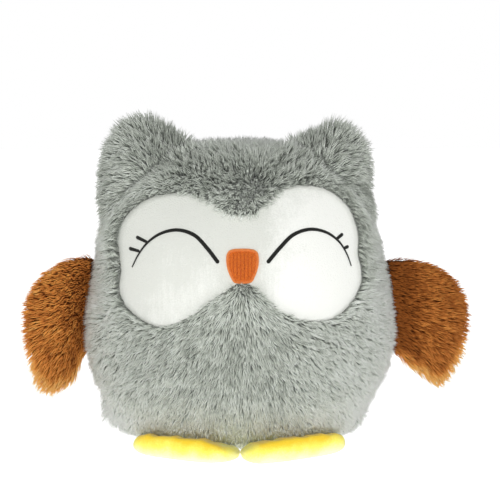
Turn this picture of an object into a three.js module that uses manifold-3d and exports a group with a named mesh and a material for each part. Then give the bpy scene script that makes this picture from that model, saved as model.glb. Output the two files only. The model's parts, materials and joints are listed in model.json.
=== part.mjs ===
// A plush owl that sits on a table: a squat body and head in one, sewn from a front panel, a back panel
// and a boat-shaped base panel in long grey plush, filled with polyester fibre. A smooth white face patch
// is let into the front panel and carries embroidered closed eyes and a beak. Two stuffed ears close the
// top corners, two wings hang on the side seams and two feet on the front edge of the base.
//
// Millimetres, +Z up. The face looks along -Y, and the origin is the middle of the face it sits on.
// Left and right are the owl's own, so its left is +X. Plush surfaces are drawn at the tips of the pile.

import * as THREE from "three";
import { mergeVertices } from "three/addons/utils/BufferGeometryUtils.js";
import Module from "manifold-3d";

const wasm = await Module();
wasm.setup();

// Driving dimensions
const bodyHeight = 241;
const bodyHalfWidth = 125;
const bellyDepth = 82; // side seams to the front of the belly
const backDepth = 74; // side seams to the back
const plushThickness = 8; // backing and long pile
const smoothPlushThickness = 2.5; // backing and short pile
const seamGap = 0.3; // between pieces that are sewn or laid together
const cutOverrun = 5; // how far cutting solids run past what they cut

const greyPlush = new THREE.MeshStandardMaterial({ color: 0x9aa098, roughness: 0.95, metalness: 0 });
const brownPlush = new THREE.MeshStandardMaterial({ color: 0x9a5f30, roughness: 0.95, metalness: 0 });
const whitePlush = new THREE.MeshStandardMaterial({ color: 0xeeefea, roughness: 0.9, metalness: 0 });
const yellowPlush = new THREE.MeshStandardMaterial({ color: 0xf0cf45, roughness: 0.9, metalness: 0 });
const blackThread = new THREE.MeshStandardMaterial({ color: 0x1e201b, roughness: 0.55, metalness: 0 });
const orangeThread = new THREE.MeshStandardMaterial({ color: 0xc8692a, roughness: 0.5, metalness: 0 });
const fibreFill = new THREE.MeshStandardMaterial({ color: 0xf4f3ee, roughness: 1, metalness: 0 });

// Solids and booleans

function toSolid(geometry) {
  const merged = mergeVertices(
    new THREE.BufferGeometry()
      .setAttribute("position", geometry.getAttribute("position"))
      .setIndex(geometry.index),
  );
  return new wasm.Manifold(
    new wasm.Mesh({
      numProp: 3,
      vertProperties: merged.attributes.position.array,
      triVerts: new Uint32Array(merged.index.array),
    }),
  );
}

function toGeometry(solid) {
  const cut = solid.getMesh();
  return new THREE.BufferGeometry()
    .setAttribute("position", new THREE.BufferAttribute(cut.vertProperties, cut.numProp))
    .setIndex(new THREE.BufferAttribute(cut.triVerts, 1));
}

function named(name, solid, material) {
  const mesh = new THREE.Mesh(toGeometry(solid), material);
  mesh.name = name;
  return mesh;
}

// A closed skin through equal rings of points, which run anticlockwise seen from the last pole.
function loft(firstPole, rings, lastPole) {
  const around = rings[0].length;
  const points = [firstPole, ...rings.flat(), lastPole];
  const at = (ring, step) => 1 + ring * around + (step % around);
  const faces = [];
  for (let step = 0; step < around; step++) {
    faces.push(0, at(0, step + 1), at(0, step));
    for (let ring = 0; ring + 1 < rings.length; ring++) {
      faces.push(at(ring, step), at(ring, step + 1), at(ring + 1, step + 1));
      faces.push(at(ring, step), at(ring + 1, step + 1), at(ring + 1, step));
    }
    faces.push(points.length - 1, at(rings.length - 1, step), at(rings.length - 1, step + 1));
  }
  const skin = new THREE.BufferGeometry().setFromPoints(points).setIndex(faces);
  skin.computeVertexNormals();
  return skin;
}

// An outline drawn in X and Z, pushed through the body from front to back or as far as asked.
function prism(outline, fromY, toY) {
  return toSolid(
    new THREE.ExtrudeGeometry(new THREE.Shape(outline), {
      depth: toY - fromY,
      bevelEnabled: false,
    })
      .rotateX(Math.PI / 2)
      .translate(0, toY, 0),
  );
}

// Everything beyond a flat cut across an axis. The sign of the reach says on which side.
function halfSpace(axis, from, reach) {
  const side = 2 * Math.abs(reach);
  const block = new THREE.BoxGeometry(side, side, side);
  block.translate(...["x", "y", "z"].map((name) => (name === axis ? from + reach : 0)));
  return toSolid(block);
}

// A closed outline in even steps through points that run anticlockwise, moved outwards by a distance.
function roundOutline(points, steps, outwards = 0) {
  const edge = new THREE.CatmullRomCurve3(
    points.map(({ x, y }) => new THREE.Vector3(x, y, 0)),
    true,
    "centripetal",
  );
  return Array.from({ length: steps }, (_, step) => {
    const place = edge.getPointAt(step / steps);
    const along = edge.getTangentAt(step / steps);
    return new THREE.Vector2(place.x + outwards * along.y, place.y - outwards * along.x);
  });
}

// Body: one stuffed form, widest at the belly, with a flat seat and a low crown

const bodyProfileShares = [
  // width, depth and height, from the middle of the seat to the crown
  [0, 0, 0],
  [0.36, 0.34, 0],
  [0.64, 0.6, 0],
  [0.78, 0.75, 0.027],
  [0.865, 0.86, 0.11],
  [0.94, 0.945, 0.19],
  [0.985, 0.985, 0.265],
  [1, 1, 0.36],
  [0.98, 0.99, 0.46],
  [0.94, 0.955, 0.57],
  [0.905, 0.89, 0.675],
  [0.88, 0.79, 0.775],
  [0.82, 0.665, 0.855],
  [0.68, 0.51, 0.925],
  [0.44, 0.32, 0.975],
  [0.2, 0.15, 0.995],
  [0, 0, 1],
];
const bodyRings = 20;
const bodySteps = 36;

const bodyProfile = new THREE.CatmullRomCurve3(
  bodyProfileShares.map(
    ([width, depth, height]) =>
      new THREE.Vector3(width * bodyHalfWidth, depth * bellyDepth, height * bodyHeight),
  ),
  false,
  "centripetal",
);

function bodyRing({ x: halfWidth, y: halfDepth, z: height }) {
  const depthBehind = (halfDepth * backDepth) / bellyDepth;
  return Array.from({ length: bodySteps }, (_, step) => {
    const angle = (2 * Math.PI * step) / bodySteps;
    const depth = Math.sin(angle) < 0 ? halfDepth : depthBehind;
    return new THREE.Vector3(halfWidth * Math.cos(angle), depth * Math.sin(angle), Math.max(height, 0));
  });
}

const bodyLevels = bodyProfile.getSpacedPoints(bodyRings + 1);
const bodyForm = loft(bodyLevels[0], bodyLevels.slice(1, -1).map(bodyRing), bodyLevels.at(-1));

// Half the body's width (x) and its depth in front (y) at a height above the seat (z).
function bodyAt(height) {
  const above = bodyLevels.findIndex((level) => level.z > height);
  const low = bodyLevels[above - 1];
  const high = bodyLevels[above];
  return low.clone().lerp(high, (height - low.z) / (high.z - low.z));
}

// Face: a smooth patch of two round halves, pushed out by the stuffing behind each half
const faceHalfWidth = 94.5;
const faceHalfHeight = 49.5;
const faceDrop = 86.5; // from the crown down to the middle of the face
const faceMiddleHeight = bodyHeight - faceDrop;
const cheekSwell = 4;
const cheekReach = 34;

function swellAt(x, z) {
  const fromCheek = Math.hypot(Math.abs(x) - faceHalfWidth / 2, z - faceMiddleHeight);
  return cheekSwell * Math.exp(-((fromCheek / cheekReach) ** 2));
}

// The body's form taken in by a distance, with or without the swell of the face.
function bodyTakenIn(distance, swollen) {
  const skin = bodyForm.clone();
  const place = skin.getAttribute("position");
  const normal = skin.getAttribute("normal");
  for (let i = 0; i < place.count; i++) {
    const swell = swollen && place.getY(i) < 0 ? swellAt(place.getX(i), place.getZ(i)) : 0;
    place.setXYZ(
      i,
      place.getX(i) - (distance - swell) * normal.getX(i),
      place.getY(i) - (distance - swell) * normal.getY(i),
      place.getZ(i) - (distance - swell) * normal.getZ(i),
    );
  }
  return toSolid(skin);
}

const bodySolid = bodyTakenIn(0, false);
const bodyLining = bodyTakenIn(plushThickness, true);
const bodyClearance = bodyTakenIn(-seamGap, false);
const bodyPlush = bodySolid.subtract(bodyLining);
const beforeBody = -bellyDepth - cutOverrun;
const behindBody = backDepth + cutOverrun;
const acrossBody = bodyHeight + cutOverrun;

// The base panel is a boat-shaped gusset: its edge is low in front and behind and runs up at the sides.
const baseSeamHeight = 6;
const baseSeamRise = 36;
const baseTipInset = 13; // from the body's sides in to the tips of the boat
const baseSeamCurl = 8;
const baseSeamSteps = 24;

function baseSeam(raised) {
  const side = bodyHalfWidth + cutOverrun;
  const edge = Array.from({ length: baseSeamSteps + 1 }, (_, step) => {
    const x = side - (2 * side * step) / baseSeamSteps;
    const climb = Math.min(Math.abs(x) / (bodyHalfWidth - baseTipInset), 1) ** baseSeamCurl;
    return new THREE.Vector2(x, baseSeamHeight + baseSeamRise * climb + raised);
  });
  const below = [new THREE.Vector2(-side, -cutOverrun), new THREE.Vector2(side, -cutOverrun)];
  return prism([...below, ...edge], beforeBody, behindBody);
}

// The face patch's edge: two round halves that meet over the beak, with a notch above and below
const faceOutlineShares = [
  // across and up, from the notch over the beak round one half to the notch under it
  [0, 0.69],
  [0.12, 0.77],
  [0.27, 0.93],
  [0.44, 1],
  [0.61, 0.97],
  [0.77, 0.85],
  [0.89, 0.64],
  [0.965, 0.36],
  [0.985, 0.1],
  [0.97, -0.09],
  [0.995, -0.4],
  [0.965, -0.66],
  [0.85, -0.88],
  [0.69, -1],
  [0.54, -0.97],
  [0.39, -0.83],
  [0.24, -0.6],
  [0.1, -0.42],
  [0, -0.34],
];
const faceOutlineSteps = 56;

// A place on the face from its shares of the half width and half height off the middle.
const onFace = (across, up) =>
  new THREE.Vector2(across * faceHalfWidth, faceMiddleHeight + up * faceHalfHeight);

function faceOutline(outwards) {
  const rightHalf = faceOutlineShares.map(([across, up]) => onFace(-across, up));
  const leftHalf = faceOutlineShares.slice(1, -1).map(([across, up]) => onFace(across, up));
  return roundOutline([...rightHalf, ...leftHalf.reverse()], faceOutlineSteps, outwards);
}

const facePatch = bodyTakenIn(plushThickness - smoothPlushThickness, true)
  .subtract(bodyLining)
  .intersect(prism(faceOutline(0), beforeBody, 0));

const frontAndBack = bodyPlush.subtract(baseSeam(seamGap));
const frontPanel = frontAndBack
  .intersect(halfSpace("y", -seamGap / 2, -acrossBody))
  .subtract(prism(faceOutline(seamGap), beforeBody, 0));
const backPanel = frontAndBack.intersect(halfSpace("y", seamGap / 2, acrossBody));
const basePanel = bodyPlush.intersect(baseSeam(0));
const bodyStuffing = bodyTakenIn(plushThickness + seamGap, true);

// Embroidery: satin-stitched threads that stand a little proud of the face patch

// A layer over the face patch, cut to an outline.
function stitched(outline, threadHeight) {
  const patchFace = plushThickness - smoothPlushThickness;
  return bodyTakenIn(patchFace - seamGap - threadHeight, true)
    .subtract(bodyTakenIn(patchFace - seamGap, true))
    .intersect(prism(outline, beforeBody, 0));
}

// A stroke of changing width along a line of points, with square ends.
function stroke(line, widths, steps) {
  const path = new THREE.SplineCurve(line);
  const edge = (side) =>
    Array.from({ length: steps + 1 }, (_, step) => {
      const share = step / steps;
      const along = path.getTangent(share);
      const slot = share * (widths.length - 1);
      const low = Math.min(Math.floor(slot), widths.length - 2);
      const width = THREE.MathUtils.lerp(widths[low], widths[low + 1], slot - low);
      return path
        .getPoint(share)
        .add(new THREE.Vector2(-along.y, along.x).multiplyScalar((side * width) / 2));
    });
  return [...edge(-1), ...edge(1).reverse()];
}

// Closed eyes: an arched lid with two lashes at its outer end
const eyeThreadHeight = 1;
const lidWidths = [2.6, 2.6, 2.4, 2, 1.6, 1.2, 0.9];
const lashWidths = [1.5, 2.1];
const lidSteps = 18;
const lidLineShares = [
  // across and up from the middle of the face, from the inner end to the outer end
  [0.205, -0.03],
  [0.312, 0.2],
  [0.417, 0.375],
  [0.552, 0.443],
  [0.687, 0.382],
  [0.795, 0.224],
  [0.86, 0.03],
  [0.899, -0.164],
];
const upperLashShares = [
  [0.767, 0.255],
  [0.85, 0.333],
];
const lowerLashShares = [
  [0.829, 0.103],
  [0.909, 0.139],
];

const lid = lidLineShares.map(([across, up]) => onFace(across, up));
const lashes = [upperLashShares, lowerLashShares].map((line) =>
  line.map(([across, up]) => onFace(across, up)),
);
const eye = lashes.reduce(
  (made, line) => made.add(stitched(stroke(line, lashWidths, 1), eyeThreadHeight)),
  stitched(stroke(lid, lidWidths, lidSteps), eyeThreadHeight),
);

// Beak: a rounded shield
const beakThreadHeight = 1.6;
const beakHalfWidth = 12.2;
const beakHalfHeight = 12;
const beakDrop = 4; // from the middle of the face down to the middle of the beak
const beakOutlineShares = [
  // across and up, from the lower left corner round to the lower right one
  [-0.42, -1.02],
  [0.42, -1.02],
  [0.78, -0.5],
  [0.94, -0.12],
  [1, 0.3],
  [0.92, 0.8],
  [0.68, 0.97],
  [-0.68, 0.97],
  [-0.92, 0.8],
  [-1, 0.3],
  [-0.94, -0.12],
  [-0.78, -0.5],
];
const beakOutline = beakOutlineShares.map(
  ([across, up]) =>
    new THREE.Vector2(across * beakHalfWidth, faceMiddleHeight - beakDrop + up * beakHalfHeight),
);
const beak = stitched(beakOutline, beakThreadHeight);

// Pads: ears, wings and feet are each two panels sewn round their edge and stuffed

const padLevelShares = [0.4, 0.72, 0.92]; // of the way from the middle to the seam

// A pad drawn in its own X and Y with its seam at Z = 0. It swells by one height above the seam and by
// another below it, the more squarely the higher fullness is, rootTaper thins it towards a sewn root, and
// floor cuts it flat underneath.
function pad({ outline, middle, above, below, fullness, rootTaper = () => 1, floor = -Infinity }) {
  const ring = (share, height) =>
    outline.map((edge) => {
      const place = middle.clone().lerp(edge, share);
      const rise = height * (1 - share ** fullness) * rootTaper(place);
      return new THREE.Vector3(place.x, place.y, Math.max(rise, floor));
    });
  const pole = (height) =>
    new THREE.Vector3(middle.x, middle.y, Math.max(height * rootTaper(middle), floor));
  const under = padLevelShares.map((share) => ring(share, -below));
  const over = padLevelShares.map((share) => ring(share, above)).reverse();
  return toSolid(loft(pole(-below), [...under, ring(1, 0), ...over], pole(above)));
}

// The pad's two panels and its stuffing, as solids in the pad's own frame.
function padPieces(shape, thickness, size) {
  const shrink = (by) => {
    const shareX = 1 - by / size.x;
    const shareY = 1 - by / size.y;
    return {
      ...shape,
      outline: shape.outline.map(
        ({ x, y }) =>
          new THREE.Vector2(
            shape.middle.x + (x - shape.middle.x) * shareX,
            shape.middle.y + (y - shape.middle.y) * shareY,
          ),
      ),
      above: shape.above - by,
      below: shape.below - by,
      floor: shape.floor === undefined ? undefined : shape.floor + by,
    };
  };
  const whole = pad(shape);
  const skin = whole.subtract(pad(shrink(thickness)));
  const reach = 2 * Math.max(size.x, size.y) + cutOverrun;
  return {
    over: skin.intersect(halfSpace("z", seamGap / 2, 2 * reach)),
    under: skin.intersect(halfSpace("z", -seamGap / 2, -2 * reach)),
    stuffing: pad(shrink(thickness + seamGap)),
  };
}

const owl = new THREE.Group();
owl.add(named("front_panel", frontPanel, greyPlush));
owl.add(named("back_panel", backPanel, greyPlush));
owl.add(named("base_panel", basePanel, greyPlush));
owl.add(named("body_stuffing", bodyStuffing, fibreFill));
owl.add(named("face_patch", facePatch, whitePlush));
owl.add(named("beak", beak, orangeThread));

// Ears: tall rounded corners, sewn along the curve of the head

const earHalfWidth = 38;
const earHalfHeight = 50;
const earHalfThickness = 27;
const earInset = 52.5; // from the body's side in to the middle of the ear
const earDrop = 30; // from the crown down to the middle of the ear
const earForward = 5; // from the side seams
const earPlushThickness = 7;
const earFullness = 2;
const earSteps = 20;
const earOutlineShares = [
  // across and up, anticlockwise from the tip; the last ones are inside the head
  [0.17, 1],
  [-0.2, 0.91],
  [-0.57, 0.76],
  [-0.96, 0.56],
  [-0.9, 0.1],
  [-0.5, -0.55],
  [0.2, -0.95],
  [0.75, -0.85],
  [0.95, -0.4],
  [0.965, -0.05],
  [0.955, 0.25],
  [0.87, 0.57],
  [0.6, 0.86],
];
const earSize = new THREE.Vector2(earHalfWidth, earHalfHeight);
const ear = padPieces(
  {
    outline: roundOutline(
      earOutlineShares.map(([across, up]) => new THREE.Vector2(across, up).multiply(earSize)),
      earSteps,
    ),
    middle: new THREE.Vector2(),
    above: earHalfThickness,
    below: earHalfThickness,
    fullness: earFullness,
  },
  earPlushThickness,
  earSize,
);

// Stands a pad's solid up in front view at the ear's place and cuts it to the head.
function onHead(solid) {
  const upright = toGeometry(solid).rotateX(Math.PI / 2);
  upright.translate(bodyHalfWidth - earInset, -earForward, bodyHeight - earDrop);
  return toSolid(upright).subtract(bodyClearance);
}

// Wings: pads that swing on the side seams

const wingRootLow = 61.5; // height of the lower end of the sewn root
const wingRootLength = 84.5;
const wingReach = 60;
const wingRise = 110;
const wingHalfThickness = 12.5;
const wingPlushThickness = 5;
const wingFullness = 2;
const rootStartShare = -0.25; // of a pad's flat: where its taper starts, a little behind the root
const wingRootFlat = 22; // how far out the pad takes to swell from its flat sewn root
const wingMiddleShare = 0.36; // of the rise
const wingSteps = 24;
const wingRootSteps = 6;
const wingEdgeShares = [
  // out from the seam and up from its lower end, anticlockwise from that end
  [0.16, -0.08],
  [0.4, -0.185],
  [0.62, -0.255],
  [0.8, -0.2],
  [0.94, -0.04],
  [1, 0.16],
  [0.99, 0.33],
  [0.91, 0.51],
  [0.75, 0.645],
  [0.53, 0.725],
  [0.26, 0.765],
];

// How far each wing is swung towards the front, in degrees.
const wingSwing = { left: 0, right: 38 };

// The seam leans in towards the head. Its places are taken from the root's lower end up, in the wing's
// own frame: X points out and Y up along the lean.
const wingRootHigh = wingRootLow + wingRootLength;
const wingSeatLow = bodyAt(wingRootLow).x;
const wingLean = Math.atan2(wingSeatLow - bodyAt(wingRootHigh).x, wingRootLength);
const wingSeat = Array.from({ length: wingRootSteps + 1 }, (_, step) => {
  const climb = (wingRootLength * step) / wingRootSteps;
  const out = bodyAt(wingRootLow + climb).x - wingSeatLow;
  return new THREE.Vector2(out, climb).rotateAround(new THREE.Vector2(), -wingLean);
});
const wingStandoff = Math.max(...wingSeat.map(({ x }) => x)) + seamGap;
const wingRoot = wingSeat.map(({ x, y }) => new THREE.Vector2(x - wingStandoff + seamGap, y));
const wingEdge = wingEdgeShares.map(([out, up]) => new THREE.Vector2(out * wingReach, up * wingRise));
const wing = padPieces(
  {
    outline: roundOutline([...wingEdge, ...wingRoot.reverse()], wingSteps),
    middle: new THREE.Vector2(wingReach / 2, wingMiddleShare * wingRise),
    above: wingHalfThickness,
    below: wingHalfThickness,
    fullness: wingFullness,
    rootTaper: ({ x }) => THREE.MathUtils.smoothstep(x, rootStartShare * wingRootFlat, wingRootFlat),
  },
  wingPlushThickness,
  new THREE.Vector2(wingReach / 2, wingRise / 2),
);

// Feet: flat-soled pads that tip up on the front edge of the base

const footAcross = 44; // middle of the base to where the foot's seam touches the body
const footHalfWidth = 44;
const footLength = 25;
const footTopHeight = 10.5; // above its seam
const footSeamHeight = 5;
const footPlushThickness = 2.5;
const footFullness = 3;
const footRootFlat = 20;
const footSteps = 24;
const footOutlineShares = [
  // along the seam and forward, anticlockwise seen from above
  [-0.5, -0.01],
  [-0.84, 0.06],
  [-0.99, 0.3],
  [-0.94, 0.64],
  [-0.7, 0.9],
  [-0.3, 1],
  [0.15, 0.94],
  [0.55, 0.77],
  [0.86, 0.54],
  [0.99, 0.28],
  [0.86, 0.04],
  [0.5, -0.01],
  [0, 0],
];

// The front edge of the base where the foot is sewn, and how far that edge has turned back there.
const footSeat = bodyAt(footSeamHeight);
const footSeatForward = footSeat.y * Math.sqrt(1 - (footAcross / footSeat.x) ** 2);
const footTurn = Math.atan2(footSeat.y ** 2 * footAcross, footSeat.x ** 2 * footSeatForward);
const foot = padPieces(
  {
    outline: roundOutline(
      footOutlineShares.map(
        ([along, forward]) => new THREE.Vector2(along * footHalfWidth, -forward * footLength),
      ),
      footSteps,
    ),
    middle: new THREE.Vector2(0, -footLength / 2),
    above: footTopHeight,
    below: 2 * footSeamHeight,
    fullness: footFullness,
    rootTaper: ({ y }) => THREE.MathUtils.smoothstep(-y, rootStartShare * footRootFlat, footRootFlat),
    floor: -footSeamHeight,
  },
  footPlushThickness,
  new THREE.Vector2(footHalfWidth, footLength / 2),
);

// Both sides alike, the second a mirror image
for (const [sideName, sideways] of [
  ["left", 1],
  ["right", -1],
]) {
  const side = new THREE.Group();
  side.scale.x = sideways;
  side.add(named(`eye_${sideName}`, eye, blackThread));
  side.add(named(`ear_${sideName}_front_panel`, onHead(ear.over), greyPlush));
  side.add(named(`ear_${sideName}_back_panel`, onHead(ear.under), greyPlush));
  side.add(named(`ear_${sideName}_stuffing`, onHead(ear.stuffing), fibreFill));

  // The wing's group stands on its hinge: Y is the seam and X points out.
  const wingHinge = new THREE.Group();
  wingHinge.name = `wing_${sideName}_hinge`;
  wingHinge.position.set(
    wingSeatLow + wingStandoff * Math.cos(wingLean),
    0,
    wingRootLow + wingStandoff * Math.sin(wingLean),
  );
  wingHinge.rotation.set(Math.PI / 2, 0, wingLean, "XYZ");
  wingHinge.rotateY(-THREE.MathUtils.degToRad(wingSwing[sideName]));
  wingHinge.add(named(`wing_${sideName}_front_panel`, wing.over, brownPlush));
  wingHinge.add(named(`wing_${sideName}_back_panel`, wing.under, brownPlush));
  wingHinge.add(named(`wing_${sideName}_stuffing`, wing.stuffing, fibreFill));
  side.add(wingHinge);

  // The foot's group stands on its hinge: X is the seam and -Y points forward.
  const footHinge = new THREE.Group();
  footHinge.name = `foot_${sideName}_hinge`;
  footHinge.position.set(
    footAcross + seamGap * Math.sin(footTurn),
    -footSeatForward - seamGap * Math.cos(footTurn),
    footSeamHeight,
  );
  footHinge.rotation.z = footTurn;
  footHinge.add(named(`foot_${sideName}_top_panel`, foot.over, yellowPlush));
  footHinge.add(named(`foot_${sideName}_sole_panel`, foot.under, yellowPlush));
  footHinge.add(named(`foot_${sideName}_padding`, foot.stuffing, fibreFill));
  side.add(footHinge);
  owl.add(side);
}

export default owl;
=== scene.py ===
# A plush owl that sits on a flat base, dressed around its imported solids.
# Lengths are millimetres and angles are degrees, and as_mesh writes every mesh in metres.
import json

import bmesh
import bpy
import numpy as np
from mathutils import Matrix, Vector


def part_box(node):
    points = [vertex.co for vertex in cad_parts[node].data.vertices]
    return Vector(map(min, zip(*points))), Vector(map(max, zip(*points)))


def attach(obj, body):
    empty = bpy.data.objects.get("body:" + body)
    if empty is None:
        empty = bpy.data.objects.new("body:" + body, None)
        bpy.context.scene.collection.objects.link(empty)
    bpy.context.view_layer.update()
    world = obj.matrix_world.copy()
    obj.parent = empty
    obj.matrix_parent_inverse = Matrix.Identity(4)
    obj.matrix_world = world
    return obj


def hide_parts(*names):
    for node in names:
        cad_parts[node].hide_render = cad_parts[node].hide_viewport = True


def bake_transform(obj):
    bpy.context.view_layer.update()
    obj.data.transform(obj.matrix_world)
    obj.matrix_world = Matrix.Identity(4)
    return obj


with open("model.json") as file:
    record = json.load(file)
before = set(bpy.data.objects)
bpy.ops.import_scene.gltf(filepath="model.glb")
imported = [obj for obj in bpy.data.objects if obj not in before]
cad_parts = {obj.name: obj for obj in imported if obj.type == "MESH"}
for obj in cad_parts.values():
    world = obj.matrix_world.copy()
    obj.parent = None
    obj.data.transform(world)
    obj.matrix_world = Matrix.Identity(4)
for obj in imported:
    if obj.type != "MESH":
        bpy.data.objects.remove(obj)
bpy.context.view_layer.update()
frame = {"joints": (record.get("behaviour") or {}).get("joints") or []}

hinges = {joint["name"]: joint for joint in frame["joints"]}

# Backing cloth of the body: the front, back and base panels are cut from knitted plush, sewn inside out
# and turned, then filled with polyester fibre. The base panel is a boat shape whose seam runs up at
# both sides, and the front panel has a hole for the face. The pile hides all of it but the seams.

METRE = 1000
body_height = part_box("front_panel")[1].z * METRE
body_half_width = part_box("front_panel")[1].x * METRE
belly_depth = -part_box("front_panel")[0].y * METRE
back_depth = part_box("back_panel")[1].y * METRE
pile_depth = 7.5
crushed_pile_depth = 3
crush_height = 30
cloth_thickness = 1.2
body_profile_shares = [
    # half width, depth and height, from the middle of the seat to the crown
    (0, 0, 0), (0.36, 0.34, 0), (0.64, 0.6, 0), (0.78, 0.75, 0.027), (0.865, 0.86, 0.11),
    (0.94, 0.945, 0.19), (0.985, 0.985, 0.265), (1, 1, 0.36), (0.98, 0.99, 0.46),
    (0.94, 0.955, 0.57), (0.905, 0.89, 0.675), (0.88, 0.79, 0.775), (0.82, 0.665, 0.855),
    (0.68, 0.51, 0.925), (0.44, 0.32, 0.975), (0.2, 0.15, 0.995), (0, 0, 1),
]
base_seam_height = 6
base_seam_rise = 36
base_tip_inset = 13
base_seam_curl = 8
seam_pull = 1
seam_pull_reach = 7
side_seam_start = (20, 60)
profile_steps = 600
backing_colour = (205, 209, 202)
backing_groove_colour = (180, 184, 177)


def rounded(points, steps, closed=False):
    """Places at even steps on a smooth line through points: a Catmull-Rom curve whose knots lie the
    square root of each chord apart, worked out finely and walked off in equal lengths."""
    points = np.asarray(points, float)
    if closed:
        line = np.concatenate([points[-1:], points, points[:2]])
    else:
        line = np.concatenate([2 * points[:1] - points[1:2], points, 2 * points[-1:] - points[-2:-1]])
    chords = np.linalg.norm(np.diff(line, axis=0), axis=1)
    knots = np.concatenate([[0], np.cumsum(np.sqrt(chords))])
    at = np.linspace(knots[1], knots[-2], 40 * len(points))
    first = np.clip(np.searchsorted(knots, at, side="right") - 1, 1, len(line) - 3)
    p0, p1, p2, p3 = (line[first + offset] for offset in (-1, 0, 1, 2))
    k0, k1, k2, k3 = (knots[first + offset] for offset in (-1, 0, 1, 2))

    def between(a, b, low, high):
        share = ((at - low) / (high - low))[:, None]
        return a + (b - a) * share

    a1, a2, a3 = between(p0, p1, k0, k1), between(p1, p2, k1, k2), between(p2, p3, k2, k3)
    fine = between(between(a1, a2, k0, k2), between(a2, a3, k1, k3), k1, k2)
    walked = np.concatenate([[0], np.cumsum(np.linalg.norm(np.diff(fine, axis=0), axis=1))])
    stops = np.linspace(0, walked[-1], steps, endpoint=not closed)
    return np.stack([np.interp(stops, walked, column) for column in fine.T], axis=1)


def smooth(value, low, high):
    """0 up to low, 1 from high, and an easy S between them. It falls where low is the larger one."""
    share = np.clip((value - low) / (high - low), 0, 1)
    return share * share * (3 - 2 * share)


def unit(vectors):
    """Vectors of length 1 along the last axis."""
    return vectors / np.maximum(np.linalg.norm(vectors, axis=-1, keepdims=True), 1e-9)


def grid_normals(grid, wrapped, middle):
    """Unit normals of a grid of places, away from a middle: the cross product of its steps along the
    rows and the columns. A row that is drawn together into a pole takes the mean of the row beside
    it."""
    down = np.gradient(grid, axis=0)
    if wrapped:
        across = np.roll(grid, -1, axis=1) - np.roll(grid, 1, axis=1)
    else:
        across = np.gradient(grid, axis=1)
    normals = unit(np.cross(across, down))
    for pole, beside in ((0, 1), (-1, -2)):
        if np.ptp(grid[pole], axis=0).max() < 1e-6:
            normals[pole] = unit(normals[beside].mean(axis=0))
    return normals * np.sign(np.sum(normals * (grid - middle)))


def as_mesh(name, points, faces, material, uv=None):
    """A smooth mesh object from places in millimetres and rows of corner numbers, all of one length."""
    mesh = bpy.data.meshes.new(name)
    count, corners = faces.shape
    mesh.vertices.add(len(points))
    mesh.vertices.foreach_set("co", (points / METRE).astype(np.float32).ravel())
    mesh.loops.add(count * corners)
    mesh.loops.foreach_set("vertex_index", faces.astype(np.int32).ravel())
    mesh.polygons.add(count)
    mesh.polygons.foreach_set("loop_start", np.arange(0, count * corners, corners, dtype=np.int32))
    mesh.polygons.foreach_set("use_smooth", np.ones(count, bool))
    if uv is not None:
        mesh.uv_layers.new(name="OFBake").data.foreach_set("uv", uv.astype(np.float32).ravel())
    mesh.update()
    mesh.validate()
    mesh.materials.append(material)
    piece = bpy.data.objects.new(name, mesh)
    bpy.context.scene.collection.objects.link(piece)
    return piece


def grid_faces(rows, columns, wrapped):
    """Four corners for each cell of a grid, numbered row by row."""
    number = np.arange(rows * columns).reshape(rows, columns)
    if wrapped:
        number = np.concatenate([number, number[:, :1]], axis=1)
    corners = [number[:-1, :-1], number[:-1, 1:], number[1:, 1:], number[1:, :-1]]
    return np.stack(corners, axis=-1).reshape(-1, 4)


def close_up(piece):
    """Draws the places that lie together at poles and seams into one. Turns the faces of a closed skin
    out, and those of an open one away from the middle of the body."""
    work = bmesh.new()
    work.from_mesh(piece.data)
    bmesh.ops.remove_doubles(work, verts=work.verts, dist=1e-6)
    bmesh.ops.dissolve_degenerate(work, edges=work.edges, dist=1e-6)
    if not any(edge.is_boundary for edge in work.edges):
        bmesh.ops.recalc_face_normals(work, faces=work.faces)
    else:
        middle = Vector((0, 0, body_height / 2 / METRE))
        if sum(face.normal.dot(face.calc_center_median() - middle) for face in work.faces) < 0:
            bmesh.ops.reverse_faces(work, faces=work.faces)
    work.to_mesh(piece.data)
    work.free()
    return piece


def linear(colour):
    """A colour of 0 to 255 as the light values that a material takes."""
    share = np.asarray(colour, float) / 255
    light = np.where(share <= 0.04045, share / 12.92, ((share + 0.055) / 1.055) ** 2.4)
    return (*light.tolist(), 1)


class Socket:
    """An output in a material's nodes. Sums and products of it add Math nodes."""

    def __init__(self, tree, output):
        self.tree = tree
        self.output = output

    def node(self, kind, settings=None, inputs=None, output=0):
        """Another node of the same material: its settings, then the values or links of its inputs."""
        node = self.tree.nodes.new("ShaderNode" + kind)
        for setting, value in (settings or {}).items():
            if setting == "stops":
                ramp = node.color_ramp.elements
                while len(ramp) < len(value):
                    ramp.new(1)
                for element, (position, colour) in zip(ramp, value):
                    element.position = position
                    element.color = colour
            else:
                setattr(node, setting, value)
        for place, value in (inputs or {}).items():
            if isinstance(value, Socket):
                self.tree.links.new(value.output, node.inputs[place])
            else:
                node.inputs[place].default_value = value
        return Socket(self.tree, node.outputs[output])

    def math(self, operation, first, second):
        return self.node("Math", {"operation": operation}, {0: first, 1: second})

    def __add__(self, other):
        return self.math("ADD", self, other)

    def __radd__(self, other):
        return self.math("ADD", other, self)

    def __sub__(self, other):
        return self.math("SUBTRACT", self, other)

    def __rsub__(self, other):
        return self.math("SUBTRACT", other, self)

    def __mul__(self, other):
        return self.math("MULTIPLY", self, other)

    def __rmul__(self, other):
        return self.math("MULTIPLY", other, self)

    def mixed(self, first, second):
        """One colour turning into another as this value goes from 0 to 1."""
        return self.node("Mix", {"data_type": "RGBA"}, {0: self, 6: first, 7: second}, output=2)


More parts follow.
